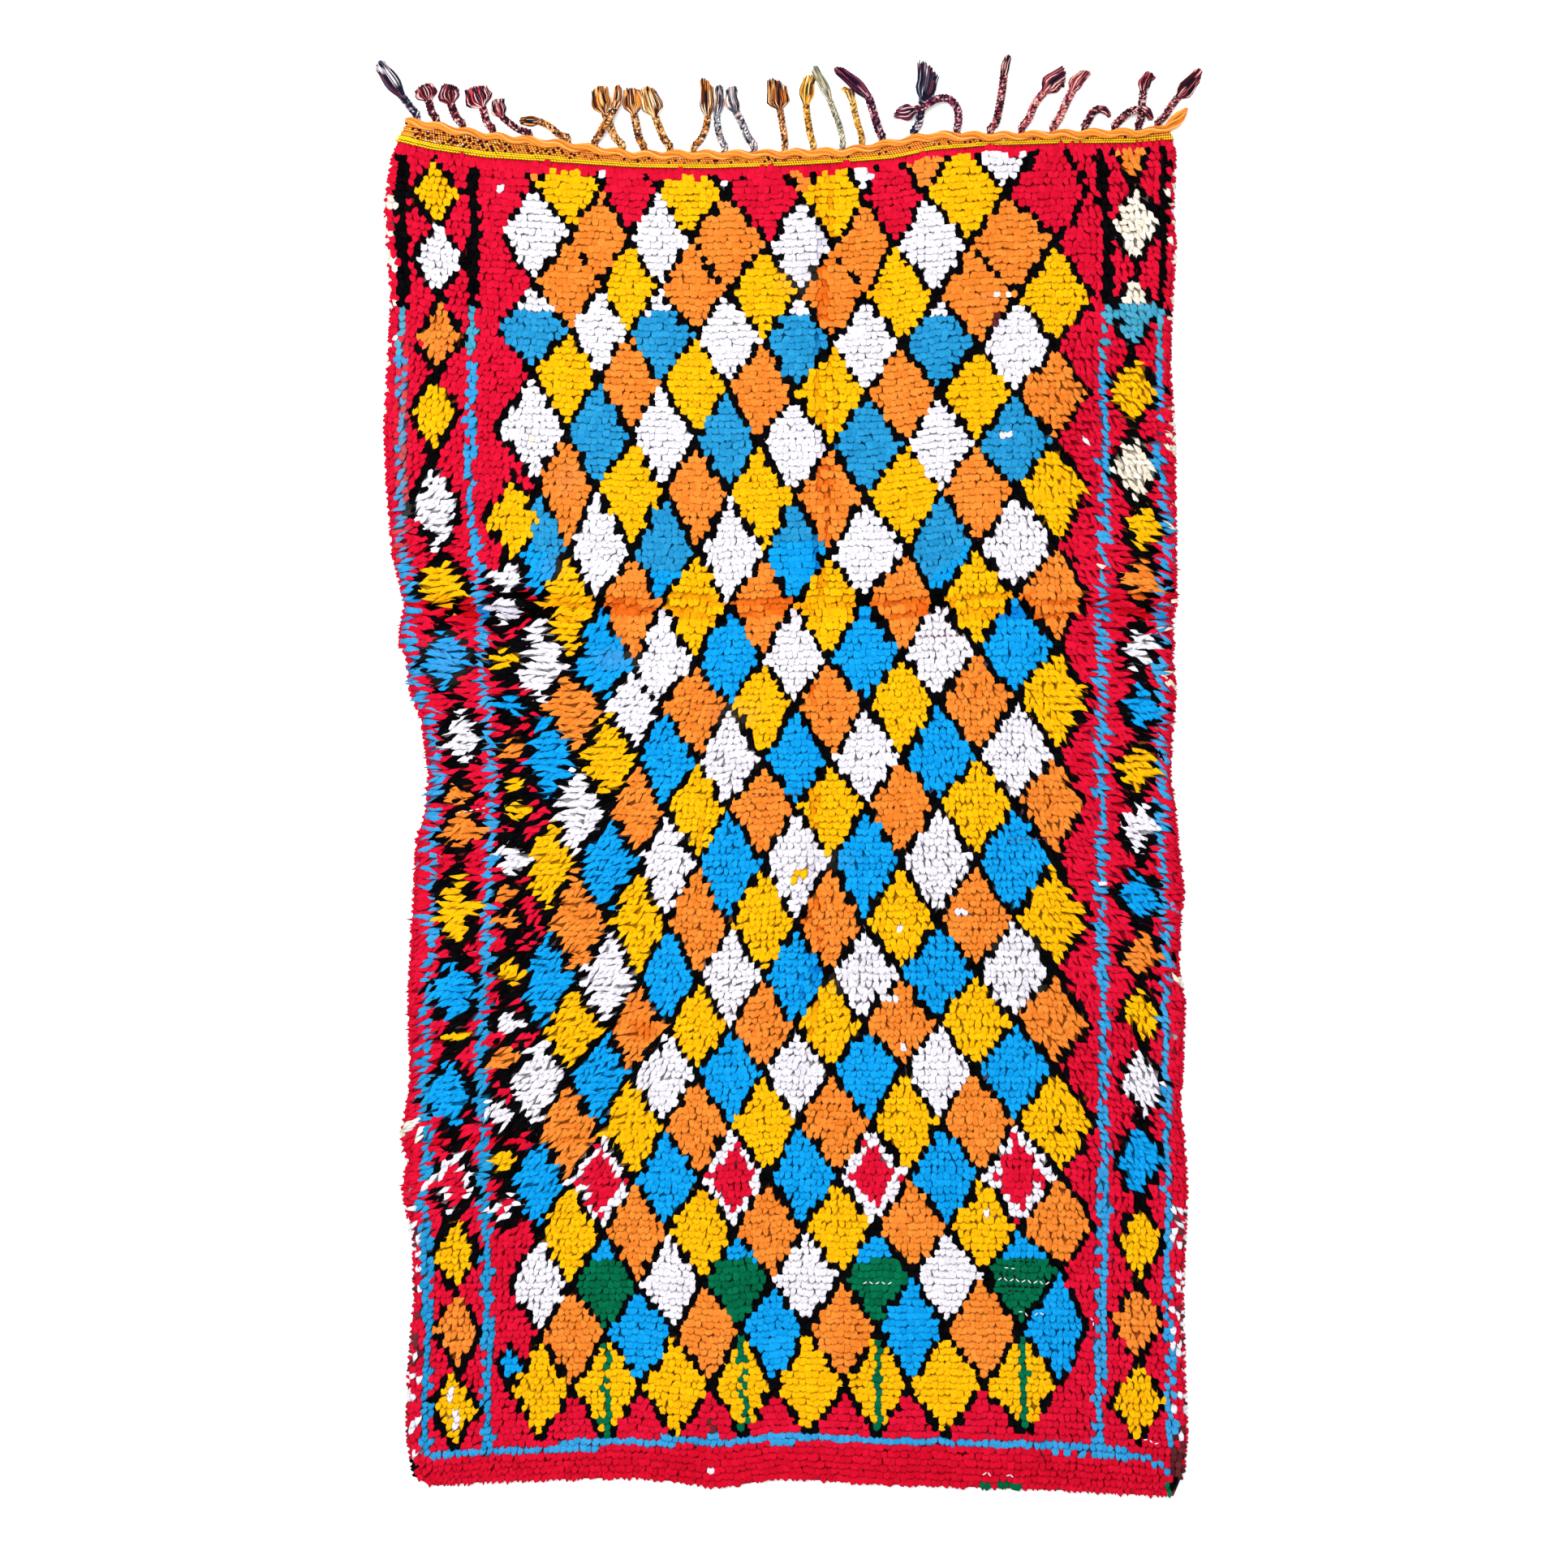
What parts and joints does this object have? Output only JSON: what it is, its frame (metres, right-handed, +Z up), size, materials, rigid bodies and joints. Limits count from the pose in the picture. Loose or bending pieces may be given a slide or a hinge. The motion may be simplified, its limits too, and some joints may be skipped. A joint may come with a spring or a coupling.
{
  "type": "boucherouite rug",
  "caption": "Long shaggy hand-knotted rug lying flat, in a bright lozenge lattice with striped borders, a flat-woven end band, a twined edge cord and a plaited fringe.",
  "frame": {"origin": "on the floor under the middle of the rug's box", "axes": "+Y along the rug towards the fringe, +X to the right seen from above, +Z up from the floor through the pile"},
  "size_m": [1.5352, 2.6774, 0.0232],
  "materials": {
    "pile": "soft cotton and wool rag pile, red with yellow, orange, blue, white and black knots",
    "cord": "thick orange wool yarns, twined",
    "fringe": "marled maroon, navy, pink and mustard wool, plaited"
  },
  "bodies": {
    "root": {"rug_cloth": "pile", "edge_cord": "cord", "braid_fringe": "fringe"}
  },
  "joints": []
}
